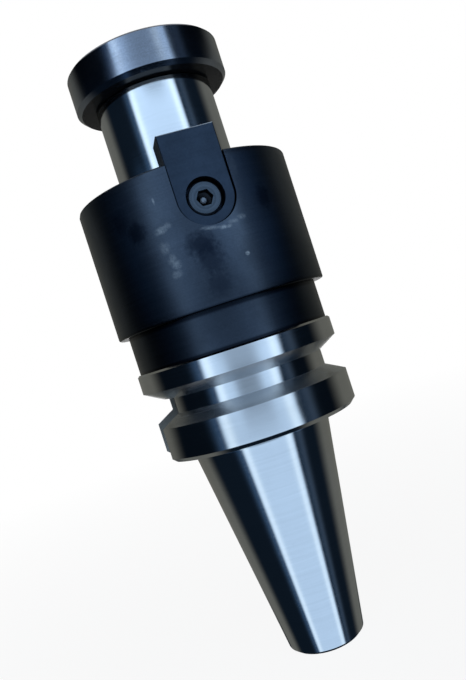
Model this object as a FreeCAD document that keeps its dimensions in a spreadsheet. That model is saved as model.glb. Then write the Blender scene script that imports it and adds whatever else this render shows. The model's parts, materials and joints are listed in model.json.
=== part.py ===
import FreeCAD, Part
import Sketcher
import os
import re

# Shell mill arbor with a size 30 steep taper, in millimetres.
# The origin is the centre of the gauge plane and +Z runs along the axis to the cutter end.
# The keys lie on the Y axis, the drive slots on the X axis.

SIZES = (
    ("gauge_dia", 31.75, "taper diameter in the gauge plane"),
    ("taper_len", 48.4, "gauge plane to small end"),
    ("taper_rise", 7, "change of diameter over taper_run"),
    ("taper_run", 24, "length for taper_rise"),
    ("taper_chamfer", 0.8, "edge of the small end"),
    ("gauge_gap", 2, "gauge plane to flange"),
    ("relief_width", 1.2, "grinding relief beside the flange"),
    ("relief_depth", 0.35, "its depth below the gauge radius"),
    ("flange_dia", 46, "flange outside"),
    ("flange_len", 20, "flange thickness"),
    ("flange_chamfer", 0.9, "flange edge beside the taper"),
    ("flange_edge", 0.4, "flange edge beside the neck"),
    ("groove_centre", 13.6, "gauge plane to the middle of the gripper groove"),
    ("groove_width", 8, "groove width at the flange outside"),
    ("groove_root_dia", 38, "diameter at the groove floor"),
    ("groove_flank", 30, "angle of each groove side from the cross plane"),
    ("drive_slot_width", 16.1, "spindle drive slot"),
    ("drive_slot_floor", 16.3, "axis to the slot floor"),
    ("neck_dia", 44.4, "neck between flange and body"),
    ("body_dia", 48.8, "body outside"),
    ("body_len", 29.5, "body length below the arbor face"),
    ("body_edge", 0.4, "chamfer of both body edges"),
    ("face_height", 60, "gauge plane to arbor face"),
    ("pilot_dia", 27, "pilot for the cutter bore"),
    ("pilot_len", 21.5, "arbor face to pilot end"),
    ("pilot_edge", 0.5, "pilot end chamfer"),
    ("stud_bore_dia", 10.2, "core diameter of the pull stud thread"),
    ("stud_bore_depth", 32, "small end to the end of that bore"),
    ("stud_recess_dia", 12.5, "locating recess of the pull stud"),
    ("stud_recess_depth", 7, "depth of that recess"),
    ("drill_point", 118, "point angle of the drilled holes"),
    ("key_width", 12, "drive key width"),
    ("key_sink", 1.4, "body surface down to the outer face of a key"),
    ("key_thick", 7.2, "outer face of a key down to its seat"),
    ("key_proud", 6, "how far a key stands past the arbor face"),
    ("key_screw_drop", 8, "arbor face down to the key screw"),
    ("key_side_gap", 0.1, "clearance round a key in its keyway"),
    ("key_edge", 0.35, "chamfer of the key edges"),
    ("key_hole_dia", 4.5, "through hole of a key"),
    ("key_recess_dia", 8, "counterbore of a key"),
    ("key_head_sink", 1.2, "screw head below the key face"),
    ("key_screw_dia", 4, "key screw thread"),
    ("key_screw_len", 10, "key screw length under the head"),
    ("key_head_dia", 7, "key screw head"),
    ("key_head_len", 4, "key screw head height"),
    ("key_head_lower_edge", 0.1, "edge break under the key screw head"),
    ("key_head_upper_edge", 0.3, "chamfer of the key screw head"),
    ("key_socket", 3, "key screw hexagon across flats"),
    ("key_socket_depth", 2, "key screw hexagon depth"),
    ("key_hole_spare", 0.8, "tapped hole past the key screw end"),
    ("lock_screw_dia", 12, "lock screw thread"),
    ("lock_screw_len", 28, "lock screw length under the head"),
    ("lock_head_dia", 35.5, "lock screw head"),
    ("lock_head_len", 8.5, "lock screw head height"),
    ("lock_head_lower_edge", 0.9, "chamfer under the head"),
    ("lock_head_upper_edge", 0.5, "chamfer of the outer edge"),
    ("lock_socket", 10, "lock screw hexagon across flats"),
    ("lock_socket_depth", 6, "lock screw hexagon depth"),
    ("lock_hole_spare", 4, "tapped hole past the lock screw end"),
    ("screw_gap", 0.05, "radial clearance of a screw in its tapped hole"),
    ("screw_point", 1, "chamfer of a large screw end"),
    ("small_screw_point", 0.5, "chamfer of a small screw end"),
    ("hole_edge", 0.8, "countersink at the mouth of a tapped hole"),
)

# lengths that follow from the sheet, written as expressions of its cells
CELLS = {alias for alias, value, note in SIZES}
SLOPE = "(taper_rise / taper_run / 2)"
SMALL_R = f"(gauge_dia / 2 - taper_len * {SLOPE})"
FLANGE_TOP = "(gauge_gap + flange_len)"
GROOVE_FLAT = "(groove_width / 2 - (flange_dia - groove_root_dia) / 2 * tan(groove_flank))"
BODY_FOOT = "(face_height - body_len)"
PILOT_END = "(face_height + pilot_len)"
KEY_SCREW_Z = "(face_height - key_screw_drop)"
KEY_SEAT_R = "(body_dia / 2 - key_sink - key_thick)"
KEYWAY_R = "(key_width / 2 + key_side_gap)"
KEY_FLOOR = "(key_thick - key_head_sink - key_head_len)"

doc = FreeCAD.newDocument("ShellMillArbor")
sheet = doc.addObject("Spreadsheet::Sheet", "Sizes")
for row, (alias, value, note) in enumerate(SIZES, start=1):
    sheet.set(f"A{row}", alias)
    sheet.set(f"B{row}", str(value))
    sheet.set(f"C{row}", note)
    sheet.setAlias(f"B{row}", alias)
doc.recompute()


def cells(text):
    """Point every alias in an expression at its cell."""
    return re.sub(r"[a-z_]+", lambda word: "Sizes." + word[0] if word[0] in CELLS else word[0], str(text))


def number(text):
    """The present value of an expression."""
    return float(sheet.evalExpression(cells(text)))


def new_body(name):
    body = doc.addObject("PartDesign::Body", name)
    body.Label = name
    return body


def origin_item(body, role):
    """An origin plane or axis of the body."""
    return next(item for item in body.Origin.OriginFeatures if item.Role == role)


def new_sketch(body, name, plane, height="0"):
    """A sketch parallel to an origin plane, lifted along its normal."""
    sketch = body.newObject("Sketcher::SketchObject", name)
    sketch.AttachmentSupport = [(origin_item(body, plane), "")]
    sketch.MapMode = "FlatFace"
    sketch.setExpression("AttachmentOffset.Base.z", cells(height))
    return sketch


def place_point(sketch, geometry, end, across, along):
    """Tie a sketch point to its two coordinates."""
    for kind, text in (("DistanceX", across), ("DistanceY", along)):
        index = sketch.addConstraint(Sketcher.Constraint(kind, -1, 1, geometry, end, number(text)))
        sketch.setExpression(f"Constraints[{index}]", cells(text))


def draw_outline(sketch, points):
    """A closed outline of straight edges through the given points."""
    count = len(points)
    corners = [FreeCAD.Vector(number(across), number(along), 0) for across, along in points]
    for index in range(count):
        sketch.addGeometry(Part.LineSegment(corners[index], corners[(index + 1) % count]), False)
    for index in range(count):
        sketch.addConstraint(Sketcher.Constraint("Coincident", index, 2, (index + 1) % count, 1))
    for index, (across, along) in enumerate(points):
        place_point(sketch, index, 1, across, along)


def draw_circle(sketch, across, along, radius):
    centre = FreeCAD.Vector(number(across), number(along), 0)
    circle = sketch.addGeometry(Part.Circle(centre, FreeCAD.Vector(0, 0, 1), number(radius)), False)
    index = sketch.addConstraint(Sketcher.Constraint("Radius", circle, number(radius)))
    sketch.setExpression(f"Constraints[{index}]", cells(radius))
    place_point(sketch, circle, 3, across, along)


def draw_round_end(sketch, half_width, top, centre):
    """A tongue with a straight top edge and a half-round lower end about the centre height."""
    half = number(half_width)
    high = number(top)
    low = number(centre)
    left_top = FreeCAD.Vector(-half, high, 0)
    right_top = FreeCAD.Vector(half, high, 0)
    left_low = FreeCAD.Vector(-half, low, 0)
    right_low = FreeCAD.Vector(half, low, 0)
    bottom = FreeCAD.Vector(0, low - half, 0)
    sketch.addGeometry(Part.LineSegment(right_low, right_top), False)
    sketch.addGeometry(Part.LineSegment(right_top, left_top), False)
    sketch.addGeometry(Part.LineSegment(left_top, left_low), False)
    sketch.addGeometry(Part.Arc(left_low, bottom, right_low), False)
    for first, second in ((0, 1), (1, 2)):
        sketch.addConstraint(Sketcher.Constraint("Coincident", first, 2, second, 1))
    sketch.addConstraint(Sketcher.Constraint("Tangent", 2, 2, 3, 1))
    sketch.addConstraint(Sketcher.Constraint("Tangent", 3, 2, 0, 1))
    place_point(sketch, 0, 2, half_width, top)
    place_point(sketch, 1, 2, f"-({half_width})", top)
    place_point(sketch, 3, 3, "0", centre)


def draw_hexagon(sketch, across_flats):
    """A regular hexagon about the sketch origin, with two corners on the X axis."""
    corner = f"({across_flats} / sqrt(3))"
    flat = f"({across_flats} / 2)"
    draw_outline(sketch, (
        (corner, "0"),
        (f"{corner} / 2", flat),
        (f"-{corner} / 2", flat),
        (f"-{corner}", "0"),
        (f"-{corner} / 2", f"-{flat}"),
        (f"{corner} / 2", f"-{flat}"),
    ))


def turned(body, kind, name, points):
    """A Revolution or Groove of an outline whose points are radius and height."""
    sketch = new_sketch(body, f"{name}_outline", "XZ_Plane")
    draw_outline(sketch, points)
    feature = body.newObject(f"PartDesign::{kind}", name)
    feature.Profile = sketch
    feature.ReferenceAxis = (origin_item(body, "Z_Axis"), [""])
    feature.Angle = 360
    return feature


def cut(body, name, sketch, depth, reverse=False):
    """A pocket from the sketch plane, against its normal unless reversed."""
    pocket = body.newObject("PartDesign::Pocket", name)
    pocket.Profile = sketch
    pocket.Type = "Length"
    pocket.setExpression("Length", cells(depth))
    pocket.Reversed = reverse
    return pocket


def twice_about_axis(body, name, features):
    """Repeat features half a turn away."""
    pattern = doc.addObject("PartDesign::PolarPattern", name)
    body.addObject(pattern)
    pattern.Originals = features
    pattern.Axis = (origin_item(body, "Z_Axis"), [""])
    pattern.Angle = 360
    pattern.Occurrences = 2
    body.Tip = pattern
    return pattern


def must_remove(body, before, name):
    """Stop if a cut took nothing away."""
    doc.recompute()
    after = body.Shape.Volume
    if not after < before - 1e-3:
        raise RuntimeError(f"{name} removed nothing")
    return after


def arbor_body():
    """The one-piece arbor: taper, flange, neck, body and pilot, with all its cuts."""
    body = new_body("arbor_body")
    turned(body, "Revolution", "turned_blank", (
        ("0", "-taper_len"),
        (f"{SMALL_R} - taper_chamfer", "-taper_len"),
        (f"{SMALL_R} + taper_chamfer * {SLOPE}", "-taper_len + taper_chamfer"),
        (f"gauge_dia / 2 + (gauge_gap - relief_width) * {SLOPE}", "gauge_gap - relief_width"),
        ("gauge_dia / 2 - relief_depth", "gauge_gap - relief_width"),
        ("gauge_dia / 2 - relief_depth", "gauge_gap"),
        ("flange_dia / 2 - flange_chamfer", "gauge_gap"),
        ("flange_dia / 2", "gauge_gap + flange_chamfer"),
        ("flange_dia / 2", f"{FLANGE_TOP} - flange_edge"),
        ("flange_dia / 2 - flange_edge", FLANGE_TOP),
        ("neck_dia / 2", FLANGE_TOP),
        ("neck_dia / 2", BODY_FOOT),
        ("body_dia / 2 - body_edge", BODY_FOOT),
        ("body_dia / 2", f"{BODY_FOOT} + body_edge"),
        ("body_dia / 2", "face_height - body_edge"),
        ("body_dia / 2 - body_edge", "face_height"),
        ("pilot_dia / 2", "face_height"),
        ("pilot_dia / 2", f"{PILOT_END} - pilot_edge"),
        ("pilot_dia / 2 - pilot_edge", PILOT_END),
        ("0", PILOT_END),
    ))
    doc.recompute()
    volume = body.Shape.Volume

    flank = "(1 + (flange_dia - groove_root_dia) / 2) * tan(groove_flank)"
    turned(body, "Groove", "gripper_groove", (
        ("groove_root_dia / 2", f"groove_centre - {GROOVE_FLAT}"),
        ("flange_dia / 2 + 1", f"groove_centre - {GROOVE_FLAT} - {flank}"),
        ("flange_dia / 2 + 1", f"groove_centre + {GROOVE_FLAT} + {flank}"),
        ("groove_root_dia / 2", f"groove_centre + {GROOVE_FLAT}"),
    ))
    volume = must_remove(body, volume, "gripper_groove")

    lock_hole = "lock_screw_dia / 2 + screw_gap"
    turned(body, "Groove", "lock_screw_hole", (
        ("0", PILOT_END),
        (f"{lock_hole} + hole_edge", PILOT_END),
        (lock_hole, f"{PILOT_END} - hole_edge"),
        (lock_hole, f"{PILOT_END} - lock_screw_len - lock_hole_spare"),
        ("0", f"{PILOT_END} - lock_screw_len - lock_hole_spare - ({lock_hole}) / tan(drill_point / 2)"),
    ))
    volume = must_remove(body, volume, "lock_screw_hole")

    turned(body, "Groove", "pull_stud_hole", (
        ("0", "-taper_len"),
        ("stud_recess_dia / 2", "-taper_len"),
        ("stud_recess_dia / 2", "stud_recess_depth - taper_len"),
        ("stud_bore_dia / 2", "stud_recess_depth - taper_len"),
        ("stud_bore_dia / 2", "stud_bore_depth - taper_len"),
        ("0", "stud_bore_depth - taper_len + stud_bore_dia / 2 / tan(drill_point / 2)"),
    ))
    volume = must_remove(body, volume, "pull_stud_hole")

    slot_outline = new_sketch(body, "drive_slot_outline", "XY_Plane", "gauge_gap")
    draw_outline(slot_outline, (
        ("drive_slot_floor", "-drive_slot_width / 2"),
        ("flange_dia / 2 + 1", "-drive_slot_width / 2"),
        ("flange_dia / 2 + 1", "drive_slot_width / 2"),
        ("drive_slot_floor", "drive_slot_width / 2"),
    ))
    slot = cut(body, "drive_slot", slot_outline, f"groove_centre + {GROOVE_FLAT} - gauge_gap", reverse=True)
    volume = must_remove(body, volume, "drive_slot")
    twice_about_axis(body, "drive_slots", [slot])
    volume = must_remove(body, volume, "drive_slots")

    seat_outline = new_sketch(body, "keyway_outline", "XZ_Plane", KEY_SEAT_R)
    draw_round_end(seat_outline, KEYWAY_R, "face_height + key_proud", KEY_SCREW_Z)
    seat = cut(body, "keyway", seat_outline, "key_sink + key_thick + 1", reverse=True)
    volume = must_remove(body, volume, "keyway")
    hole_outline = new_sketch(body, "key_screw_hole_outline", "XZ_Plane", KEY_SEAT_R)
    draw_circle(hole_outline, "0", KEY_SCREW_Z, "key_screw_dia / 2 + screw_gap")
    hole = cut(body, "key_screw_hole", hole_outline, f"key_screw_len - {KEY_FLOOR} + key_hole_spare")
    volume = must_remove(body, volume, "key_screw_hole")
    twice_about_axis(body, "keyways", [seat, hole])
    must_remove(body, volume, "keyways")
    return body


def drive_key(label, turn):
    """A key about its screw axis, from its seat outwards, then stood in its keyway."""
    body = new_body(label)
    outline = new_sketch(body, f"{label}_outline", "XY_Plane")
    draw_round_end(outline, "key_width / 2", "key_proud + key_screw_drop", "0")
    pad = body.newObject("PartDesign::Pad", f"{label}_pad")
    pad.Profile = outline
    pad.setExpression("Length", "Sizes.key_thick")
    doc.recompute()

    face = number("key_thick")
    rim = [
        f"Edge{index}" for index, edge in enumerate(pad.Shape.Edges, start=1)
        if all(abs(vertex.Z - face) < 1e-6 for vertex in edge.Vertexes)
    ]
    bevel = body.newObject("PartDesign::Chamfer", f"{label}_bevel")
    bevel.Base = (pad, rim)
    bevel.setExpression("Size", cells("key_edge"))
    doc.recompute()
    volume = body.Shape.Volume

    recess_outline = new_sketch(body, f"{label}_recess_outline", "XY_Plane", "key_thick")
    draw_circle(recess_outline, "0", "0", "key_recess_dia / 2")
    cut(body, f"{label}_recess", recess_outline, "key_head_sink + key_head_len")
    volume = must_remove(body, volume, f"{label}_recess")
    hole_outline = new_sketch(body, f"{label}_hole_outline", "XY_Plane", "key_thick")
    draw_circle(hole_outline, "0", "0", "key_hole_dia / 2")
    cut(body, f"{label}_hole", hole_outline, "key_thick")
    must_remove(body, volume, f"{label}_hole")
    stand(body, turn, KEY_SEAT_R)
    return body


def stand(body, turn, radius):
    """Point a piece's own Z axis outwards at a key screw, turned about the arbor axis."""
    outwards = FreeCAD.Rotation(FreeCAD.Vector(1, 0, 0), 90)
    round_axis = FreeCAD.Rotation(FreeCAD.Vector(0, 0, 1), turn)
    body.Placement = FreeCAD.Placement(FreeCAD.Vector(), round_axis.multiply(outwards))
    body.setExpression("Placement.Base.y", cells(f"-({radius}) * cos({turn} deg)"))
    body.setExpression("Placement.Base.z", cells(KEY_SCREW_Z))


def socket_screw(label, prefix, head, point):
    """A turned screw about its own Z axis, with the head's seat at zero and a hexagon socket."""
    body = new_body(label)
    shank = f"{prefix}_screw_dia / 2"
    length = f"{prefix}_screw_len"
    radius = f"{head}_dia / 2"
    height = f"{head}_len"
    lower_edge = f"{head}_lower_edge"
    upper_edge = f"{head}_upper_edge"
    turned(body, "Revolution", f"{label}_blank", (
        ("0", f"-{length}"),
        (f"{shank} - {point}", f"-{length}"),
        (shank, f"-{length} + {point}"),
        (shank, "0"),
        (f"{radius} - {lower_edge}", "0"),
        (radius, lower_edge),
        (radius, f"{height} - {upper_edge}"),
        (f"{radius} - {upper_edge}", height),
        ("0", height),
    ))
    doc.recompute()
    volume = body.Shape.Volume
    socket = f"{prefix}_socket"
    socket_outline = new_sketch(body, f"{label}_socket_outline", "XY_Plane", height)
    draw_hexagon(socket_outline, socket)
    cut(body, f"{label}_socket", socket_outline, f"{socket}_depth")
    volume = must_remove(body, volume, f"{label}_socket")
    floor = f"({height} - {socket}_depth)"
    turned(body, "Groove", f"{label}_socket_cone", (
        ("0", floor),
        (f"{socket} / 2", floor),
        ("0", f"{floor} - {socket} / 2 / tan(drill_point / 2)"),
    ))
    must_remove(body, volume, f"{label}_socket_cone")
    return body


def key_screw(label, turn):
    body = socket_screw(label, "key", "key_head", "small_screw_point")
    stand(body, turn, f"{KEY_SEAT_R} + {KEY_FLOOR}")
    return body


def lock_screw():
    body = socket_screw("lock_screw", "lock", "lock_head", "screw_point")
    body.setExpression("Placement.Base.z", cells(PILOT_END))
    return body


pieces = [
    arbor_body(),
    drive_key("drive_key_front", 0),
    drive_key("drive_key_rear", 180),
    key_screw("key_screw_front", 0),
    key_screw("key_screw_rear", 180),
    lock_screw(),
]
doc.recompute()

for item in doc.Objects:
    if "Invalid" in item.State or "Error" in item.State:
        raise RuntimeError(f"{item.Label} failed")
for piece in pieces:
    if piece.Shape.isNull() or not piece.Shape.isValid() or len(piece.Shape.Solids) != 1:
        raise RuntimeError(f"{piece.Label} is not one valid solid")

os.makedirs("parts", exist_ok=True)
for piece in pieces:
    piece.Shape.exportStep(f"parts/{piece.Label}.step")
    print(piece.Label, round(piece.Shape.Volume, 1))
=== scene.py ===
"""Shell mill arbor: ground, blackened and worn steel built round the fixed frame of the part."""

import json
import math

import bmesh
import bpy
import numpy as np
from mathutils import Matrix, Vector


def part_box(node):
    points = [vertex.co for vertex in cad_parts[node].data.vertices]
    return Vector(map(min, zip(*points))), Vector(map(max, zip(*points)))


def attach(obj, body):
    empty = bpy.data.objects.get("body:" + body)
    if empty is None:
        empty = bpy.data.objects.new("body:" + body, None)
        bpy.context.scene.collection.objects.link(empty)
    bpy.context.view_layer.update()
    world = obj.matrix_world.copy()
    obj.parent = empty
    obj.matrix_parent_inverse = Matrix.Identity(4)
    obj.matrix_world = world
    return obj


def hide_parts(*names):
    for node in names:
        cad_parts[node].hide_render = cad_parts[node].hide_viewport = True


bl_info = {
    "name": "Shell mill arbor",
    "version": (1, 0, 0),
    "blender": (4, 5, 0),
    "location": "3D View > Sidebar > Arbor",
    "description": "Builds a size 30 shell mill arbor with its drive keys and cutter retaining screw",
    "category": "Object",
}

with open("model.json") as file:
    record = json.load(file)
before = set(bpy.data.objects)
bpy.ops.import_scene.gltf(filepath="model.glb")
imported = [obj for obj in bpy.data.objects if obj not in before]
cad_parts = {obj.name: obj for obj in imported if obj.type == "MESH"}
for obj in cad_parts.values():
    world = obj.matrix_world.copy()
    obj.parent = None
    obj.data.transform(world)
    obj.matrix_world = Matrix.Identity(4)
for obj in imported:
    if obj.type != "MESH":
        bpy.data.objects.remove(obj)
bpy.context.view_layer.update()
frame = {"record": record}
MM = 0.001
WELD = 2e-7
HALF_TURN = math.pi
QUARTER_TURN = math.pi / 2
FULL_TURN = 2 * math.pi
SHARP_EDGE = math.radians(28)
DRILL_SLOPE = math.tan(math.radians(59))


def mount(name):
    """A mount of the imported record."""
    return next(item for item in frame["record"]["mounts"] if item["name"] == name)


PILOT = mount("pilot")
PILOT_RADIUS = PILOT["dims"]["r_mm"] * MM
FACE_HEIGHT = PILOT["pos_m"][2] - PILOT["dims"]["length_mm"] * MM / 2
STUD = mount("pull_stud_thread")
STUD_RADIUS = STUD["dims"]["r_mm"] * MM
STUD_HALF = STUD["dims"]["length_mm"] * MM / 2
SMALL_END, PILOT_END = (corner.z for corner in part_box("arbor_body"))
BODY_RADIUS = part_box("arbor_body")[1].x
HEAD_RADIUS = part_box("lock_screw")[1].x
HEAD_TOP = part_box("lock_screw")[1].z
SCREW_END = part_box("lock_screw")[0].z
KEY_LOW, KEY_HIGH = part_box("drive_key_front")
KEY_SCREW_LOW, KEY_SCREW_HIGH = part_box("key_screw_front")
KEY_HALF_WIDTH = KEY_HIGH.x
KEY_FACE = -KEY_LOW.y
KEY_SEAT = -KEY_HIGH.y
KEY_AXIS = KEY_LOW.z + KEY_HALF_WIDTH


def length(label, description, value):
    """A length of the part, in metres."""
    return bpy.props.FloatProperty(
        name=label, description=description, default=value, min=0, unit="LENGTH", precision=5)


def share(label, description, value):
    """A plain number from 0 to 1."""
    return bpy.props.FloatProperty(name=label, description=description, default=value, min=0, max=1)


def angle(label, description, degrees):
    """An angle given in degrees."""
    return bpy.props.FloatProperty(
        name=label, description=description, default=math.radians(degrees), subtype="ANGLE")


def colour(label, description, value):
    """A linear colour."""
    return bpy.props.FloatVectorProperty(
        name=label, description=description, default=value, size=3, min=0, max=1, subtype="COLOR")


class ArborSizes(bpy.types.PropertyGroup):
    """Turned and milled sizes of the one-piece arbor."""

    gauge_radius: length("Gauge radius", "Taper radius in the gauge plane", 15.875 * MM)
    taper_slope: share("Taper slope", "Radius gained over a unit of height", 7 / 48)
    taper_chamfer: length("Taper chamfer", "Edge of the small end", 0.8 * MM)
    relief_foot: length("Relief foot", "Height at which the taper ends", 0.8 * MM)
    relief_radius: length("Relief radius", "Radius of the grinding relief", 15.525 * MM)
    stud_recess: length("Stud recess", "Radius of the recess in the small end", 6.25 * MM)
    flange_foot: length("Flange foot", "Height of the flange's lower face", 2 * MM)
    flange_top: length("Flange top", "Height of the flange's upper face", 22 * MM)
    flange_radius: length("Flange radius", "Outside of the flange", 23 * MM)
    flange_chamfer: length("Flange chamfer", "Lower edge of the flange", 0.9 * MM)
    flange_edge: length("Flange edge", "Upper edge of the flange", 0.4 * MM)
    groove_centre: length("Groove centre", "Height of the gripper groove", 13.6 * MM)
    groove_half: length("Groove half width", "Half the groove at the flange's outside", 4 * MM)
    groove_radius: length("Groove radius", "Radius of the groove floor", 19 * MM)
    groove_flank: angle("Groove flank", "Slope of the groove's sides", 30)
    slot_half: length("Slot half width", "Half the width of a drive slot", 8.05 * MM)
    slot_floor: length("Slot floor", "Axis to the floor of a drive slot", 16.3 * MM)
    neck_radius: length("Neck radius", "Neck between flange and body", 22.2 * MM)
    body_foot: length("Body foot", "Lower end of the body", 30.5 * MM)
    body_edge: length("Body edge", "Rounding of both body edges", 0.4 * MM)
    pilot_edge: length("Pilot edge", "Chamfer of the pilot end", 0.5 * MM)
    keyway_half: length("Keyway half width", "Half the width of a keyway", 6.1 * MM)
    screw_hole: length("Screw hole", "Radius of the tapped hole in the pilot", 6.05 * MM)
    hole_edge: length("Hole edge", "Countersink of that hole", 0.8 * MM)
    hole_floor: length("Hole floor", "Height at which that hole's wall ends", 49.5 * MM)
    key_hole: length("Key screw hole", "Radius of a key screw's tapped hole", 2.05 * MM)
    key_hole_floor: length("Key hole floor", "Axis to the floor of that hole", 7 * MM)


class KeySizes(bpy.types.PropertyGroup):
    """Sizes of a drive key."""

    edge: length("Key edge", "Chamfer round the outer face", 0.2 * MM)
    hole: length("Through hole", "Radius of the screw's through hole", 2.25 * MM)
    recess: length("Counterbore", "Radius of the counterbore", 4 * MM)
    recess_floor: length("Counterbore floor", "Height of the counterbore's floor over the seat", 2 * MM)


class ScrewSizes(bpy.types.PropertyGroup):
    """Sizes of the cutter retaining screw and of the key screws."""

    lock_shank: length("Lock shank", "Thread outside of the retaining screw", 6 * MM)
    lock_pitch: length("Lock pitch", "Thread pitch of the retaining screw", 1.75 * MM)
    lock_point: length("Lock point", "Chamfer of its end", 1 * MM)
    lock_lower_edge: length("Lock lower edge", "Chamfer under the head's rim", 0.9 * MM)
    lock_upper_edge: length("Lock upper edge", "Chamfer over the head's rim", 0.5 * MM)
    lock_socket: length("Lock socket", "Half the hexagon across flats", 5 * MM)
    lock_socket_depth: length("Lock socket depth", "Depth of the hexagon", 6 * MM)
    key_shank: length("Key shank", "Thread outside of a key screw", 2 * MM)
    key_pitch: length("Key pitch", "Thread pitch of a key screw", 0.7 * MM)
    key_point: length("Key point", "Chamfer of its end", 0.5 * MM)
    key_head: length("Key head", "Radius of a key screw's head", 3.5 * MM)
    key_head_height: length("Key head height", "Height of that head", 4 * MM)
    key_lower_edge: length("Key lower edge", "Edge break under the head", 0.1 * MM)
    key_upper_edge: length("Key upper edge", "Chamfer of the head", 0.3 * MM)
    key_socket: length("Key socket", "Half the hexagon across flats", 1.5 * MM)
    key_socket_depth: length("Key socket depth", "Depth of the hexagon", 2 * MM)


class FinishColours(bpy.types.PropertyGroup):
    """Colours of the steel finishes."""

    ground: colour("Ground steel", "Taper, flange, pilot and arbor face", (0.645, 0.66, 0.675))
    oxide: colour("Black oxide", "Neck and body", (0.064, 0.084, 0.116))
    # Used for stains, and also for a painted dark reflection down the middle of the body.
    oxide_stain_and_reflection: colour("Oxide stain", "Darker blotches of the oxide", (0.009, 0.015, 0.029))
    scuff: colour("Scuff", "Rubbed places where steel shows", (0.30, 0.33, 0.36))
    head: colour("Screw head", "Polished dark steel of the retaining screw", (0.30, 0.33, 0.39))
    key: colour("Drive key", "Milled and blackened key", (0.034, 0.050, 0.077))
    key_screw: colour("Key screw", "Satin grey screw", (0.072, 0.094, 0.122))
    bore: colour("Cut thread", "Tapped holes", (0.26, 0.27, 0.28))
    milled: colour("Milled slot", "Walls of the drive slots", (0.23, 0.215, 0.19))
    # Painted shade: the head's underside and its socket are near black and dull, for the shade between head
    # and pilot.
    seat: colour("Head seat", "Underside of the retaining screw's head", (0.006, 0.007, 0.009))
    key_edge: colour("Key edge", "Edges of the drive keys", (0.055, 0.075, 0.105))
    # Wear and painted highlight: the keys' top edge is pale partly for the light it catches.
    worn: colour("Worn edge", "Rubbed top edge of the drive keys", (0.62, 0.67, 0.74))
    # Painted highlight: the pale chamfer over a key screw's head and the pale drilled point in its socket.
    rim: colour("Screw rim", "Rubbed rim and drilled point of a key screw", (0.26, 0.30, 0.35))
    # Painted shade: the hexagon of a key screw is darker than its head, for the shade inside the recess.
    socket: colour("Socket", "Hexagon of a key screw", (0.020, 0.023, 0.028))


class StudioSettings(bpy.types.PropertyGroup):
    """Camera, floor and light tent."""

    azimuth: angle("Camera azimuth", "Turn of the camera round the part", -10.0)
    distance: length("Camera distance", "From the part's axis to the camera", 156.7 * MM)
    aim_height: length("Aim height", "Height that the camera looks at", 23.2 * MM)
    aim_side: length("Aim side", "Distance from the axis to the point that the camera looks at", 0.39 * MM)
    camera_height: length("Camera height", "Height of the camera", 23.54 * MM)
    roll: angle("Camera roll", "Lean of the part in the picture", 17.98)
    lens: bpy.props.FloatProperty(name="Lens", description="Focal length in millimetres", default=35.89)
    tent_radius: length("Tent radius", "Radius of the light tent", 3.0)
    opening: bpy.props.FloatProperty(
        name="Opening", description="Half the tent's opening behind the part, in degrees", default=13.0)
    floor_size: length("Floor size", "Half the floor's side", 2.0)
    mirror_floor: bpy.props.BoolProperty(
        name="Mirror the floor", description="Let the steel mirror the white floor and not the tent below it",
        default=False)


def grid_faces(rows, columns, start):
    """The four corners of every cell of a grid of points, as one array."""
    index = start + np.arange(rows * columns).reshape(rows, columns)
    cells = (index[:-1, :-1], index[:-1, 1:], index[1:, 1:], index[1:, :-1])
    return np.stack(cells, -1).reshape(-1, 4)


def closed_skin(name, grids, finishes):
    """One mesh from grids of points with a finish each. Grids that share an edge are welded along it."""
    points, faces, slots = [], [], []
    start = 0
    for grid, slot in grids:
        rows, columns = grid.shape[:2]
        points.append(grid.reshape(-1, 3))
        faces.append(grid_faces(rows, columns, start))
        slots.append(np.full(len(faces[-1]), slot, np.int32))
        start += rows * columns
    mesh = bpy.data.meshes.new(name)
    mesh.from_pydata(np.concatenate(points).tolist(), [], np.concatenate(faces).tolist())
    mesh.polygons.foreach_set("material_index", np.concatenate(slots))
    for finish in finishes:
        mesh.materials.append(finish)
    skin = bmesh.new()
    skin.from_mesh(mesh)
    bmesh.ops.remove_doubles(skin, verts=skin.verts, dist=WELD)
    bmesh.ops.recalc_face_normals(skin, faces=skin.faces)
    skin.to_mesh(mesh)
    skin.free()
    mesh.shade_smooth()
    mesh.set_sharp_from_angle(angle=SHARP_EDGE)
    piece = bpy.data.objects.new(name, mesh)
    bpy.context.scene.collection.objects.link(piece)
    return piece


def round_axis(radius, height, turn):
    """Points on a surface of revolution: x = radius cos turn, y = radius sin turn, z = height."""
    radius, height, turn = np.broadcast_arrays(radius, height, turn)
    return np.stack((radius * np.cos(turn), radius * np.sin(turn), height), -1)


def line(start, end, steps):
    """Evenly spaced values from start to end."""
    return np.linspace(start, end, steps + 1)


def along(points, steps=1):
    """A run of (radius, height) points, each leg cut into equal steps."""
    legs = [line(np.array(a), np.array(b), steps)[:-1] for a, b in zip(points, points[1:])]
    return np.concatenate(legs + [np.array(points[-1:])])


def rounded(corner, start, end, steps=4):
    """A quarter round between two points in the (radius, height) plane. Its centre lies across from the
    corner that the two points share: centre + (start - centre) cos t + (end - centre) sin t."""
    t = line(0, QUARTER_TURN, steps)[:, None]
    centre = np.array(start) + np.array(end) - np.array(corner)
    return centre + (np.array(start) - centre) * np.cos(t) + (np.array(end) - centre) * np.sin(t)


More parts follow.
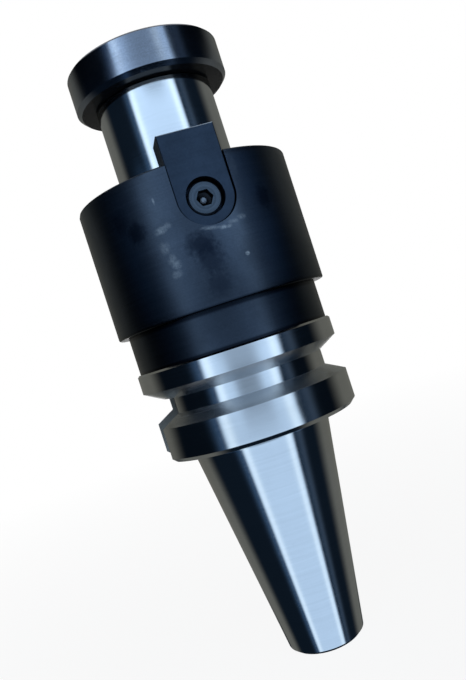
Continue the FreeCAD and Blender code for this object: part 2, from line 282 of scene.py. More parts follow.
def thread(root, crest, low, high, pitch, turn):
    """A helical thread between two heights. Each column of the grid is the tooth outline (root, flank,
    crest, flank) repeated once a pitch and shifted by pitch times turn / full turn. Both ends fade to the
    root radius within half a pitch, so that they close on plain circles."""
    tooth_height = np.array((0.0, 0.14, 0.44, 0.58)) * pitch
    tooth_radius = np.array((root, root, crest, crest))
    count = int(math.ceil((high - low) / pitch)) + 2
    height = ((np.arange(count)[:, None] - 1) * pitch + tooth_height).reshape(-1, 1)
    radius = np.tile(tooth_radius, count).reshape(-1, 1)
    height = low + height + pitch * (turn[None, :] - turn[0]) / FULL_TURN
    height = np.clip(height, low, high)
    fade = np.clip(np.minimum(height - low, high - height) / (pitch / 2), 0, 1)
    return root + (radius - root) * fade, height


class ArborSkin:
    """The arbor's skin, walked as rows (radius, height, slot half angle, keyway half angle) from the tip of
    the stud hole, up the outside and down to the tip of the screw hole. Each row is a circle cut into
    sectors: two over the drive slots, two over the keyways and four walls between them."""

    def __init__(self, size):
        self.size = size
        self.slot_angle = math.asin(size.slot_half / size.groove_radius)
        self.key_angle = math.asin(size.keyway_half / BODY_RADIUS)
        edge = np.linspace(size.slot_floor, math.hypot(size.slot_floor, size.slot_half), 7)
        across = np.sqrt(np.maximum(edge ** 2 - size.slot_floor ** 2, 0))
        self.slot_across = np.concatenate((-across[:0:-1], across))
        self.slot_share = np.arcsin(self.slot_across / size.groove_radius) / self.slot_angle
        self.key_share = line(-1, 1, 12)
        self.wall_share = line(0, 1, 40)
        self.grids = []
        self.last = None

    def sectors(self, slot_angle, key_angle, cut):
        """The turn angles of each sector that is there, for rows of half angles."""
        kinds = (("slot", 0), ("wall", 0), ("key", QUARTER_TURN), ("wall", QUARTER_TURN))
        for half in (0, HALF_TURN):
            for kind, base in kinds:
                if kind == cut:
                    continue
                if kind == "slot":
                    start, end, shares = -slot_angle, slot_angle, (self.slot_share + 1) / 2
                elif kind == "key":
                    start, end, shares = -key_angle, key_angle, (self.key_share + 1) / 2
                elif base == 0:
                    start, end, shares = slot_angle, QUARTER_TURN - key_angle, self.wall_share
                else:
                    start, end, shares = key_angle, QUARTER_TURN - slot_angle, self.wall_share
                yield half + base + start[:, None] + (end - start)[:, None] * shares[None, :]

    def walk(self, points, finish, cut=None, slot_angle=None, key_angle=None):
        """Carry a run of (radius, height) points round the axis, from the end of the last run."""
        points = np.array(points, float)
        count = len(points)
        slot_rows = np.full(count, self.slot_angle) if slot_angle is None else np.array(slot_angle)
        key_rows = np.full(count, self.key_angle) if key_angle is None else np.array(key_angle)
        for turn in self.sectors(slot_rows, key_rows, cut):
            grid = round_axis(points[:, :1], points[:, 1:], turn)
            self.grids.append((grid, finish))

    def full_turn(self):
        """Every column of a full row, once round."""
        rows = np.array((self.slot_angle,)), np.array((self.key_angle,))
        return np.concatenate([turn[0] for turn in self.sectors(*rows, None)])

    def tapped(self, crest, root, low, high, pitch, finish):
        """A thread cut outwards from a hole's wall."""
        radius, height = thread(crest, root, low, high, pitch, self.full_turn())
        self.grids.append((round_axis(radius, height, self.full_turn()[None, :]), finish))

    def slot_limit(self, radius):
        """Half the angle that a drive slot takes from a circle: the floor's chord, then the side walls."""
        floor = np.arccos(np.clip(self.size.slot_floor / radius, -1, 1))
        side = np.arcsin(np.clip(self.size.slot_half / radius, 0, 1))
        return np.minimum(floor, side)

    def key_limit(self, radius):
        """The same for a keyway."""
        floor = np.arccos(np.clip(KEY_SEAT / radius, -1, 1))
        side = np.arcsin(np.clip(self.size.keyway_half / radius, 0, 1))
        return np.minimum(floor, side)


# Steps of each leg of the flange's outline, and of each half of a face beside a slot or keyway.
LEG_STEPS = 3
FACE_STEPS = 6
# Steps of a key's round end, and of each of its straight sides.
BEND_STEPS = 32
SIDE_STEPS = 8
# The finishes of the arbor's skin, in the order in which ARBOR_OT_body lists them.
GROUND, OXIDE, BORE, MILLED, TURNED = range(5)
# The finishes of a screw, in the order in which its operator lists them.
HEAD, SHANK, UNDER_PAINTED_SHADE, RIM = range(4)
# The finishes of a drive key, in the same way.
FACE, EDGE, WORN_AND_HIGHLIGHT = range(3)


def taper_end(skin):
    """Stud hole, small end, taper, relief and the flange's lower face up to the drive slots."""
    size = skin.size
    hole_low = STUD["pos_m"][2] - STUD_HALF
    hole_high = STUD["pos_m"][2] + STUD_HALF
    tip = hole_high + STUD_RADIUS / DRILL_SLOPE
    small_radius = size.gauge_radius + SMALL_END * size.taper_slope
    skin.walk(((0, tip), (STUD_RADIUS, hole_high)), BORE)
    skin.tapped(STUD_RADIUS, 6 * MM, hole_low, hole_high, 1.75 * MM, BORE)
    skin.walk(((STUD_RADIUS, hole_low), (size.stud_recess, hole_low), (size.stud_recess, SMALL_END)), BORE)
    skin.walk((
        (size.stud_recess, SMALL_END),
        (small_radius - size.taper_chamfer, SMALL_END),
        (small_radius + size.taper_chamfer * size.taper_slope, SMALL_END + size.taper_chamfer),
        (size.gauge_radius + size.relief_foot * size.taper_slope, size.relief_foot),
        (size.relief_radius, size.relief_foot),
        (size.relief_radius, size.flange_foot),
    ), GROUND)
    skin.walk(((size.relief_radius, size.flange_foot), (size.slot_floor, size.flange_foot)), GROUND,
              slot_angle=(skin.slot_angle, 0))


def slot_rows(size):
    """The rows that a drive slot cuts: the lower face, then the flange's outside up to the groove floor."""
    groove_drop = (size.flange_radius - size.groove_radius) * math.tan(size.groove_flank)
    corner = math.hypot(size.slot_floor, size.slot_half)
    inner = line(size.slot_floor, corner, FACE_STEPS)
    outer = line(corner, size.flange_radius - size.flange_chamfer, FACE_STEPS)[1:]
    face = [(radius, size.flange_foot) for radius in (*inner, *outer)]
    low_edge = size.groove_centre - size.groove_half
    floor_low = low_edge + groove_drop
    floor_high = size.groove_centre + size.groove_half - groove_drop
    outside = along((
        (size.flange_radius - size.flange_chamfer, size.flange_foot),
        (size.flange_radius, size.flange_foot + size.flange_chamfer),
        (size.flange_radius, low_edge),
        (size.groove_radius, floor_low),
        (size.groove_radius, floor_high),
    ), LEG_STEPS)
    return np.array(face), outside


def flange(skin):
    """The slotted lower part of the flange, the upper ring and the walls of the drive slots. A slot's walls
    and ceiling run from its floor to the circles of the outline: depth = floor + share (reach - floor)."""
    size = skin.size
    face, outside = slot_rows(size)
    skin.walk(face, GROUND, "slot", slot_angle=skin.slot_limit(face[:, 0]))
    for first, last, finish in ((0, 2, GROUND), (2, 3, TURNED), (3, 4, GROUND)):
        rows = outside[first * LEG_STEPS:last * LEG_STEPS + 1]
        skin.walk(rows, finish, "slot", slot_angle=skin.slot_limit(rows[:, 0]))
    floor_high = outside[-1][1]
    groove_top = size.groove_centre + size.groove_half
    skin.walk(((size.groove_radius, floor_high), (size.flange_radius, groove_top)), TURNED)
    skin.walk((
        (size.flange_radius, groove_top),
        (size.flange_radius, size.flange_top - size.flange_edge),
        (size.flange_radius - size.flange_edge, size.flange_top),
        (size.neck_radius, size.flange_top),
    ), GROUND)
    reach = np.sqrt(outside[:, 0] ** 2 - size.slot_half ** 2)
    edge = np.sqrt(np.maximum(face[FACE_STEPS:, 0] ** 2 - size.slot_half ** 2, 0))
    shares = (edge - edge[0]) / (edge[-1] - edge[0])
    for side in (1, -1):
        rows = outside[:, 1][:, None]
        depth = size.slot_floor + shares[None, :] * (reach[:, None] - size.slot_floor)
        for hand in (1, -1):
            wall = np.stack(np.broadcast_arrays(side * depth, hand * size.slot_half, rows), -1)
            skin.grids.append((wall, MILLED))
        across = skin.slot_across[None, :]
        floor = np.stack(np.broadcast_arrays(side * size.slot_floor, across, rows), -1)
        skin.grids.append((floor, MILLED))
        rim = np.sqrt(size.groove_radius ** 2 - across.T ** 2)
        depth = size.slot_floor + shares[None, :] * (rim - size.slot_floor)
        ceiling = np.stack(np.broadcast_arrays(side * depth, across.T, floor_high), -1)
        skin.grids.append((ceiling, MILLED))


def body(skin):
    """The blackened neck and body, the arbor face and the two keyways with their screw holes."""
    size = skin.size
    edge = size.body_edge
    half = size.keyway_half
    keyway_foot = KEY_AXIS - half
    skin.walk((
        (size.neck_radius, size.flange_top),
        (size.neck_radius, size.body_foot),
        (BODY_RADIUS - edge, size.body_foot),
    ), OXIDE)
    skin.walk(rounded((BODY_RADIUS, size.body_foot), (BODY_RADIUS - edge, size.body_foot),
                      (BODY_RADIUS, size.body_foot + edge)), OXIDE)
    steps = 12
    wall = along(((BODY_RADIUS, size.body_foot + edge), (BODY_RADIUS, keyway_foot)), steps)
    skin.walk(wall, OXIDE, key_angle=line(skin.key_angle, 0, steps))

    bend = line(0, QUARTER_TURN, 14)
    low = np.stack((np.full(len(bend), BODY_RADIUS), KEY_AXIS - half * np.cos(bend)), -1)
    high = along(((BODY_RADIUS, KEY_AXIS), (BODY_RADIUS, FACE_HEIGHT - edge)), 6)
    top = rounded((BODY_RADIUS, FACE_HEIGHT), (BODY_RADIUS, FACE_HEIGHT - edge),
                  (BODY_RADIUS - edge, FACE_HEIGHT))
    rows = np.concatenate((low, high[1:], top[1:]))
    width = np.concatenate((half * np.sin(bend), np.full(len(rows) - len(bend), half)))
    skin.walk(rows, OXIDE, "key", key_angle=np.arcsin(width / rows[:, 0]))

    corner = math.hypot(KEY_SEAT, half)
    outer = line(BODY_RADIUS - edge, corner, FACE_STEPS)
    face_radius = np.concatenate((outer, line(corner, KEY_SEAT, FACE_STEPS)[1:]))
    face = np.stack((face_radius, np.full(len(face_radius), FACE_HEIGHT)), -1)
    skin.walk(face, GROUND, "key", key_angle=skin.key_limit(face_radius))
    skin.walk(((KEY_SEAT, FACE_HEIGHT), (PILOT_RADIUS, FACE_HEIGHT)), GROUND, key_angle=(0, skin.key_angle))

    reach = np.sqrt(rows[:, 0] ** 2 - width ** 2)
    depth = np.sqrt(outer ** 2 - half ** 2)
    shares = (depth - KEY_SEAT) / (depth[0] - KEY_SEAT)
    end = np.sqrt(np.maximum(face_radius[FACE_STEPS:] ** 2 - KEY_SEAT ** 2, 0))
    for side in (1, -1):
        out = side * (KEY_SEAT + shares[None, :] * (reach[:, None] - KEY_SEAT))
        for hand in (1, -1):
            wall = np.stack(np.broadcast_arrays(hand * width[:, None], out, rows[:, 1:]), -1)
            skin.grids.append((wall, OXIDE))
        right = np.stack((width, rows[:, 1]), -1)
        lid = np.stack((end, np.full(len(end), FACE_HEIGHT)), -1)
        outline = np.concatenate((right, lid[1:], lid[-2::-1] * (-1, 1), right[-2::-1] * (-1, 1)))
        keyway_floor(skin, outline, side)


def keyway_floor(skin, outline, side):
    """The floor of a keyway between its outline and the screw hole, then the hole's wall and end. The floor
    runs straight from each outline point to the hole's circle: outline + (ring - outline) s."""
    size = skin.size
    centre = np.array((0, KEY_AXIS))
    spoke = outline - centre
    ring = centre + spoke / np.linalg.norm(spoke, axis=1, keepdims=True) * size.key_hole
    spread = line(0, 1, 4)[:, None, None]
    flat = outline + (ring - outline) * spread
    floor = np.stack(np.broadcast_arrays(flat[..., 0], side * KEY_SEAT, flat[..., 1]), -1)
    skin.grids.append((floor, OXIDE))
    depth = np.array((KEY_SEAT, size.key_hole_floor))[:, None]
    wall = np.stack(np.broadcast_arrays(ring[None, :, 0], side * depth, ring[None, :, 1]), -1)
    skin.grids.append((wall, BORE))
    fan = centre + (ring - centre) * np.array((1, 0))[:, None, None]
    end = np.stack(np.broadcast_arrays(fan[..., 0], side * size.key_hole_floor, fan[..., 1]), -1)
    skin.grids.append((end, BORE))


def pilot(skin, pitch):
    """The ground pilot, its end face and the tapped hole for the retaining screw."""
    size = skin.size
    mouth = size.screw_hole + size.hole_edge
    skin.walk((
        (PILOT_RADIUS, FACE_HEIGHT),
        (PILOT_RADIUS, PILOT_END - size.pilot_edge),
        (PILOT_RADIUS - size.pilot_edge, PILOT_END),
        (mouth, PILOT_END),
    ), GROUND)
    top = PILOT_END - size.hole_edge
    skin.walk(((mouth, PILOT_END), (size.screw_hole, top)), BORE)
    skin.tapped(size.screw_hole, size.screw_hole + 0.35 * MM, size.hole_floor, top, pitch, BORE)
    tip = size.hole_floor - size.screw_hole / DRILL_SLOPE
    skin.walk(((size.screw_hole, size.hole_floor), (0, tip)), BORE)


def hexagon(turn, half_flats):
    """Radius of a hexagon at each turn: half the flats over the cosine of the turn from the nearest one."""
    return half_flats / np.cos(np.mod(turn, FULL_TURN / 6) - FULL_TURN / 12)


def screw_grids(shank, shank_length, point, pitch, head, height, lower_edge, upper_edge, socket, depth,
                rim=HEAD):
    """A socket screw about Z with the head's seat at zero. The turned outside is a profile carried round
    the axis; the top runs from its circle to the hexagon, whose wall goes down to a drilled cone. The
    chamfer over the head has the rim's finish, and the tip of the drilled cone always has RIM."""
    turn = line(0, FULL_TURN, 96)
    root = shank - 0.55 * pitch
    thread_low = point * 0.7 - shank_length
    thread_high = -0.4 * pitch
    grids = []

    def ring(points, finish=HEAD):
        points = np.array(points, float)
        grids.append((round_axis(points[:, :1], points[:, 1:], turn[None, :]), finish))

    ring(((0, -shank_length), (shank - point, -shank_length), (root, thread_low)))
    radius, level = thread(root, shank, thread_low, thread_high, pitch, turn)
    grids.append((round_axis(radius, level, turn[None, :]), SHANK))
    ring(((root, thread_high), (root, 0)))
    ring(((root, 0), (head - lower_edge, 0)), UNDER_PAINTED_SHADE)
    ring(((head - lower_edge, 0), (head, lower_edge), (head, height - upper_edge)))
    ring(((head, height - upper_edge), (head - upper_edge, height)), rim)

    flats = hexagon(turn, socket)
    bevel = 0.06 * socket
    top = np.stack((np.full_like(turn, head - upper_edge), flats + bevel, flats, flats))
    level = np.array((height, height, height - bevel, height - depth))[:, None]
    inside = round_axis(top, level, turn[None, :])
    grids.append((inside[:3], HEAD))
    grids.append((inside[2:], UNDER_PAINTED_SHADE))

    tip = 0.45 * socket
    floor = np.stack((flats, np.full_like(turn, socket), np.full_like(turn, tip), np.zeros_like(turn)))
    sink = np.array((0, 0, socket - tip, socket)) / DRILL_SLOPE
    cone = round_axis(floor, (height - depth - sink)[:, None], turn[None, :])
    grids.append((cone[:3], UNDER_PAINTED_SHADE))
    grids.append((cone[2:], RIM))
    return grids


def placed(grids, matrix):
    """The same grids, turned and moved."""
    turn = np.array(matrix.to_3x3())
    move = np.array(matrix.translation)
    return [(grid @ turn.T + move, slot) for grid, slot in grids]


def outwards(side):
    """The matrix that points Z outwards along the key screw's axis: -Y for the front, +Y for the rear."""
    spin = Matrix.Rotation(HALF_TURN if side < 0 else 0, 4, "Z")
    lean = Matrix.Rotation(QUARTER_TURN, 4, "X")
    return spin @ Matrix.Translation((0, 0, KEY_AXIS)) @ lean


def tongue(half_width, top):
    """A tongue about the origin: straight sides and top, and a half-round lower end."""
    bend = line(-HALF_TURN, 0, BEND_STEPS)
    count = SIDE_STEPS + 1
    low = np.stack((half_width * np.cos(bend), half_width * np.sin(bend)), -1)
    right = np.stack((np.full(count, half_width), line(0, top, SIDE_STEPS)), -1)
    lid = np.stack((line(half_width, -half_width, SIDE_STEPS), np.full(count, top)), -1)
    left = np.stack((np.full(count, -half_width), line(top, 0, SIDE_STEPS)), -1)
    return np.concatenate((low, right[1:], lid[1:], left[1:]))


def key_grids(size):
    """A drive key about its screw axis, from its seat at zero to its face. Each ring of points is an
    outline or a circle at the same bearings, and the surface runs from ring to ring: start + (end - start) s.
    The bevel of the outer face has the edges' finish, and its top side the worn one, pale from wear and from
    a painted highlight along the key's top edge."""
    thick = KEY_FACE - KEY_SEAT
    top = KEY_HIGH.z - KEY_AXIS
    outer = tongue(KEY_HALF_WIDTH, top)
    inset = tongue(KEY_HALF_WIDTH - size.edge, top - size.edge)
    bearing = outer / np.linalg.norm(outer, axis=1, keepdims=True)
    rings = (
        (bearing * size.hole, size.recess_floor),
        (bearing * size.hole, 0),
        (outer, 0),
        (outer, thick - size.edge),
        (inset, thick),
        (bearing * size.recess, thick),
        (bearing * size.recess, size.recess_floor),
        (bearing * size.hole, size.recess_floor),
    )
    grids = []
    bevel = 3
    right_corner = BEND_STEPS + SIDE_STEPS
    top_edge = slice(right_corner, right_corner + SIDE_STEPS + 1)
    for index, ((start, low), (end, high)) in enumerate(zip(rings, rings[1:])):
        spread = line(0, 1, 4)[:, None, None]
        flat = start + (end - start) * spread
        level = low + (high - low) * spread[..., 0]
        grid = np.stack(np.broadcast_arrays(flat[..., 0], flat[..., 1], level), -1)
        if index == bevel:
            grids.append((grid[:, :top_edge.start + 1], EDGE))
            # The top side of the bevel: wear and a painted highlight.
            grids.append((grid[:, top_edge], WORN_AND_HIGHLIGHT))
            grids.append((grid[:, top_edge.stop - 1:], EDGE))
        else:
            grids.append((grid, FACE))
    return grids


class Shader:
    """A material whose nodes are added one call each."""

    def __init__(self, name):
        self.material = bpy.data.materials.new(name)
        self.material.use_nodes = True
        self.tree = self.material.node_tree
        self.surface = self.tree.nodes["Principled BSDF"]
        self.place = self.add("ShaderNodeTexCoord").outputs["Object"]

    def add(self, kind, inputs=None, **settings):
        """A node with its settings, and sockets that are linked to an output or set to a value."""
        node = self.tree.nodes.new(kind)
        for key, value in settings.items():
            setattr(node, key, value)
        for socket, value in (inputs or {}).items():
            if isinstance(value, bpy.types.NodeSocket):
                self.tree.links.new(value, node.inputs[socket])
            else:
                node.inputs[socket].default_value = value
        return node

    def math(self, operation, *values):
        """The result of an operation on outputs or numbers."""
        return self.add("ShaderNodeMath", dict(enumerate(values)), operation=operation).outputs[0]

    def vector(self, operation, *values, output=0):
        """The same for vectors."""
        return self.add("ShaderNodeVectorMath", dict(enumerate(values)), operation=operation).outputs[output]

    def noise(self, vector, scale, detail=2.0, roughness=0.5):
        """Noise about 0.5 at a place, with so many features over a unit of length."""
        inputs = {"Vector": vector, "Scale": scale, "Detail": detail, "Roughness": roughness}
        return self.add("ShaderNodeTexNoise", inputs).outputs["Fac"]

    def spread(self, value, low, high, to_low, to_high, smooth=False):
        """The value carried from one range to another, and held at its ends."""
        inputs = {"Value": value, "From Min": low, "From Max": high, "To Min": to_low, "To Max": to_high}
        kind = "SMOOTHSTEP" if smooth else "LINEAR"
        return self.add("ShaderNodeMapRange", inputs, interpolation_type=kind).outputs[0]

    def mix(self, share_of_second, first, second):
        """A blend of two colours."""
        node = self.add("ShaderNodeMix", data_type="RGBA")
        for socket, value in zip((node.inputs[0], node.inputs[6], node.inputs[7]),
                                 (share_of_second, first, second)):
            if isinstance(value, bpy.types.NodeSocket):
                self.tree.links.new(value, socket)
            elif socket.type == "RGBA":
                socket.default_value = (*value[:3], 1)
            else:
                socket.default_value = value
        return node.outputs[2]

    def link(self, socket, value):
        """Link an output to a socket of the surface."""
        self.tree.links.new(value, self.surface.inputs[socket])

    def turning_lines(self, lines_per_metre, axis="Z", centre=(0, 0, 0)):
        """Fine rings round an axis: noise that is quick along the axis and the radius, and slow round it."""
        offset = self.vector("SUBTRACT", self.place, centre)
        parts = self.add("ShaderNodeSeparateXYZ", {0: offset}).outputs
        order = {"X": (1, 2, 0), "Y": (0, 2, 1), "Z": (0, 1, 2)}[axis]
        across, over, lift = (parts[index] for index in order)
        radius = self.math("SQRT", self.math("ADD", self.math("MULTIPLY", across, across),
                                             self.math("MULTIPLY", over, over)))
        stack = self.math("MULTIPLY_ADD", radius, 1.37, lift)
        return self.add("ShaderNodeCombineXYZ", {
            0: self.math("MULTIPLY", across, 40.0),
            1: self.math("MULTIPLY", over, 40.0),
            2: self.math("MULTIPLY", stack, lines_per_metre),
        }).outputs[0]

    def spot(self, centre, size, ragged=0.0, soft=0.5):
        """1 inside an ellipsoid about a point, falling to 0 at its edge, with a ragged outline."""
        scaled = self.vector("DIVIDE", self.vector("SUBTRACT", self.place, centre), size)
        far = self.vector("LENGTH", scaled, output="Value")
        if ragged:
            blot = self.noise(self.place, 900.0, 3.0, 0.6)
            far = self.math("MULTIPLY_ADD", self.math("SUBTRACT", blot, 0.5), ragged, far)
        return self.spread(far, 1 - soft, 1.0, 1.0, 0.0, smooth=True)


def on_body(azimuth, height, radius=BODY_RADIUS):
    """The point of the body's surface at an azimuth in degrees from the front, and a height in mm."""
    turn = math.radians(azimuth)
    return radius * math.sin(turn), -radius * math.cos(turn), height * MM


def ground_steel(name, tint, fine=5200.0, roughness=(0.07, 0.11)):
    """Ground steel: bright metal with circular grinding lines, faint cloudy patches and specks."""
    shader = Shader(name)
    lines = shader.noise(shader.turning_lines(fine), 1.0, 3.0, 0.6)
    bands = shader.noise(shader.turning_lines(700.0), 1.0, 2.0, 0.5)
    cloud = shader.noise(shader.place, 95.0, 3.0, 0.55)
    speck = shader.noise(shader.place, 1500.0, 2.0, 0.6)
    tone = shader.math("ADD", shader.spread(lines, 0.3, 0.7, -0.05, 0.05),
                       shader.spread(cloud, 0.3, 0.7, -0.05, 0.05))
    tone = shader.math("ADD", tone, shader.spread(bands, 0.3, 0.7, -0.03, 0.03))
    tone = shader.math("SUBTRACT", tone, shader.spread(speck, 0.66, 0.76, 0.0, 0.10))
    level = shader.math("ADD", tone, 0.5)
    dark = tuple(channel * 0.72 for channel in tint)
    pale = tuple(min(1.0, channel * 1.28) for channel in tint)
    shader.link("Base Color", shader.mix(level, dark, pale))
    shader.surface.inputs["Metallic"].default_value = 1.0
    rough = shader.math("ADD", shader.spread(lines, 0.3, 0.7, *roughness),
                        shader.spread(cloud, 0.35, 0.65, -0.01, 0.02))
    shader.link("Roughness", rough)
    bump = shader.add("ShaderNodeBump", {"Height": lines, "Strength": 0.35, "Distance": 4e-6})
    shader.link("Normal", bump.outputs[0])
    return shader.material


# Marks on the body and the neck. Each has its (azimuth in degrees, height in mm), its (reach across, in depth
# and up, in mm) and its strength. The first three dark marks, down the middle of the body below the front
# key, are a painted dark reflection of a shape standing before the part. The other dark marks are stains.
STAINS_AND_DARK_REFLECTION = (
    ((-9.5, 43.0), (4.4, 3.0, 3.6), 0.80),
    ((-7.0, 39.5), (4.0, 3.0, 4.4), 0.62),
    ((-6.5, 34.6), (3.6, 3.0, 3.4), 0.48),
    ((-37.8, 49.3), (3.0, 2.6, 3.2), 0.75),
    ((-45.0, 52.5), (2.6, 2.6, 3.6), 0.45),
    ((28.5, 49.0), (2.4, 2.4, 3.6), 0.60),
)
SCUFFS = (
    ((-25.2, 48.0), (2.0, 1.5, 1.1), 0.46),
    ((-21.8, 48.5), (1.2, 1.2, 0.8), 0.26),
    ((-26.3, 44.5), (1.4, 1.2, 1.7), 0.24),
    ((-24.6, 41.9), (1.2, 1.2, 1.3), 0.32),
    ((-23.2, 40.6), (1.2, 1.2, 1.2), 0.36),
    ((-24.4, 38.8), (1.7, 1.2, 1.1), 0.24),
    ((10.0, 38.7), (0.65, 0.7, 0.5), 0.85),
    ((-24.6, 53.9), (0.3, 0.5, 0.9), 0.50),
    ((-6.0, 45.8), (1.2, 1.0, 0.34), 0.45),
    ((-3.2, 45.5), (1.7, 1.0, 0.38), 0.60),
    ((0.4, 45.15), (1.9, 1.0, 0.42), 0.50),
    ((3.8, 44.85), (1.7, 1.0, 0.50), 0.66),
    ((8.6, 45.6), (1.7, 1.0, 0.60), 0.30),
    ((12.8, 46.0), (1.3, 1.0, 0.80), 0.44),
    ((17.5, 56.5), (0.8, 1.0, 3.0), 0.10),
)
# Painted shade in the corners under the body and over the flange: a darker ring at each, given as height and
# reach, in mm.
CORNER_SHADE = ((30.3, 0.9), (22.0, 0.8))
# Heights in mm between which the painted shade on the neck, under the body's overhang, fades into the tone of
# the body.
NECK_SHADE_HEIGHTS = (30.5, 44.0)


def black_oxide(colours):
    """Blackened steel of neck and body: mottled oxide, stains, rubbed scuffs, worn edges, painted shade on
    the neck and in its corners, and a painted dark reflection below the front key.
    """
    shader = Shader("black_oxide")
    lines = shader.noise(shader.turning_lines(3600.0), 1.0, 3.0, 0.6)
    cloud = shader.noise(shader.place, 75.0, 4.0, 0.6)
    grain = shader.noise(shader.place, 2600.0, 2.0, 0.6)
    level = shader.math("ADD", shader.spread(cloud, 0.3, 0.7, 0.30, 0.62),
                        shader.spread(lines, 0.3, 0.7, -0.06, 0.06))
    level = shader.math("ADD", level, shader.spread(grain, 0.3, 0.7, -0.06, 0.06))
    tint = colours.oxide
    dark = tuple(channel * 0.45 for channel in tint)
    pale = tuple(channel * 1.55 for channel in tint)
    base = shader.mix(level, dark, pale)

    height = shader.add("ShaderNodeSeparateXYZ", {0: shader.place}).outputs[2]
    # Painted shade: the neck is darkened, and the darkening fades out up the body's lower part.
    foot, top = NECK_SHADE_HEIGHTS
    neck = shader.spread(height, foot * MM, top * MM, 0.42, 0.0)
    base = shader.mix(neck, base, (0.004, 0.006, 0.010))
    # Painted shade: a darker ring of oxide at each inner corner.
    for corner, reach in CORNER_SHADE:
        far = shader.math("ABSOLUTE", shader.math("SUBTRACT", height, corner * MM))
        corner_shade = shader.spread(far, 0.35 * reach * MM, reach * MM, 0.85, 0.0, smooth=True)
        base = shader.mix(corner_shade, base, (0.006, 0.009, 0.015))

    # Dark marks: stains, and the first three are a painted dark reflection.
    for (azimuth, level), size, strength in STAINS_AND_DARK_REFLECTION:
        mask = shader.spot(on_body(azimuth, level), [part * MM for part in size], 0.9, 0.75)
        base = shader.mix(shader.math("MULTIPLY", mask, strength), base, colours.oxide_stain_and_reflection)

    rub = shader.noise(shader.place, 1700.0, 4.0, 0.7)
    for (azimuth, level), size, strength in SCUFFS:
        mask = shader.spot(on_body(azimuth, level), [part * MM for part in size], 1.1, 0.8)
        mask = shader.math("MULTIPLY", mask, shader.spread(rub, 0.35, 0.6, 0.25, 1.0))
        base = shader.mix(shader.math("MULTIPLY", mask, strength), base, colours.scuff)
    shader.link("Base Color", base)
    shader.surface.inputs["Metallic"].default_value = 1.0
    rough = shader.math("ADD", shader.spread(cloud, 0.3, 0.7, 0.36, 0.29),
                        shader.spread(lines, 0.3, 0.7, -0.03, 0.03))
    shader.link("Roughness", rough)
    bump = shader.add("ShaderNodeBump", {"Height": lines, "Strength": 0.35, "Distance": 5e-6})
    shader.link("Normal", bump.outputs[0])
    return shader.material


def turned_steel(name, tint, roughness, lines_per_metre=3200.0, axis="Z", height=5e-6, centre=(0, 0, 0),
                 ringed=0.06):
    """Turned or milled steel with fine lines round an axis through the centre, cloudy tone and grain. The
    roughness runs between its two values with the clouds, height is that of the lines, and ringed says how
    much they change the tone."""
    shader = Shader(name)
    lines = shader.noise(shader.turning_lines(lines_per_metre, axis, centre), 1.0, 3.0, 0.6)
    cloud = shader.noise(shader.place, 150.0, 4.0, 0.6)
    grain = shader.noise(shader.place, 2800.0, 2.0, 0.6)
    level = shader.math("ADD", shader.spread(cloud, 0.3, 0.7, 0.34, 0.60),
                        shader.spread(lines, 0.3, 0.7, -ringed, ringed))
    level = shader.math("ADD", level, shader.spread(grain, 0.3, 0.7, -0.08, 0.08))
    dark = tuple(channel * 0.6 for channel in tint)
    pale = tuple(min(1.0, channel * 1.4) for channel in tint)
    shader.link("Base Color", shader.mix(level, dark, pale))
    shader.surface.inputs["Metallic"].default_value = 1.0
    shader.link("Roughness", shader.spread(cloud, 0.3, 0.7, roughness[1], roughness[0]))
    bump = shader.add("ShaderNodeBump", {"Height": lines, "Strength": 0.35, "Distance": height})
    shader.link("Normal", bump.outputs[0])
    return shader.material


class ARBOR_OT_body(bpy.types.Operator):
    """Build the one-piece arbor: taper, grooved flange, neck, body and pilot"""

    bl_idname = "arbor.body"
    bl_label = "Arbor body"

    def execute(self, context):
        scene = context.scene
        skin = ArborSkin(scene.arbor_sizes)
        taper_end(skin)
        flange(skin)
        body(skin)
        pilot(skin, scene.arbor_screws.lock_pitch)
        colours = scene.arbor_finishes
        finishes = (
            ground_steel("ground_steel", colours.ground),
            black_oxide(colours),
            turned_steel("cut_thread", colours.bore, (0.30, 0.42)),
            turned_steel("milled_slot", colours.milled, (0.50, 0.60), 1400.0, "X"),
            ground_steel("turned_flank", colours.ground, roughness=(0.20, 0.26)),
        )
        piece = closed_skin("arbor_steel", skin.grids, finishes)
        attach(piece, "arbor")
        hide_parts("arbor_body")
        return {"FINISHED"}


class ARBOR_OT_keys(bpy.types.Operator):
    """Build the two drive keys"""

    bl_idname = "arbor.keys"
    bl_label = "Drive keys"

    def execute(self, context):
        colours = context.scene.arbor_finishes
        finish = turned_steel("key_steel", colours.key, (0.36, 0.46), 900.0, "Y")
        edge = turned_steel("key_edge", colours.key_edge, (0.46, 0.60), 900.0, "Y")
        # Wear and a painted highlight along the top edge of each key.
        worn = turned_steel("key_worn_edge", colours.worn, (0.70, 0.85), 900.0, "Y", ringed=0.3)
        grids = key_grids(context.scene.arbor_keys)
        for side, end in ((1, "front"), (-1, "rear")):
            matrix = outwards(side) @ Matrix.Translation((0, 0, KEY_SEAT))
            piece = closed_skin(f"key_{end}", placed(grids, matrix), (finish, edge, worn))
            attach(piece, "arbor")
            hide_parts(f"drive_key_{end}")
        return {"FINISHED"}


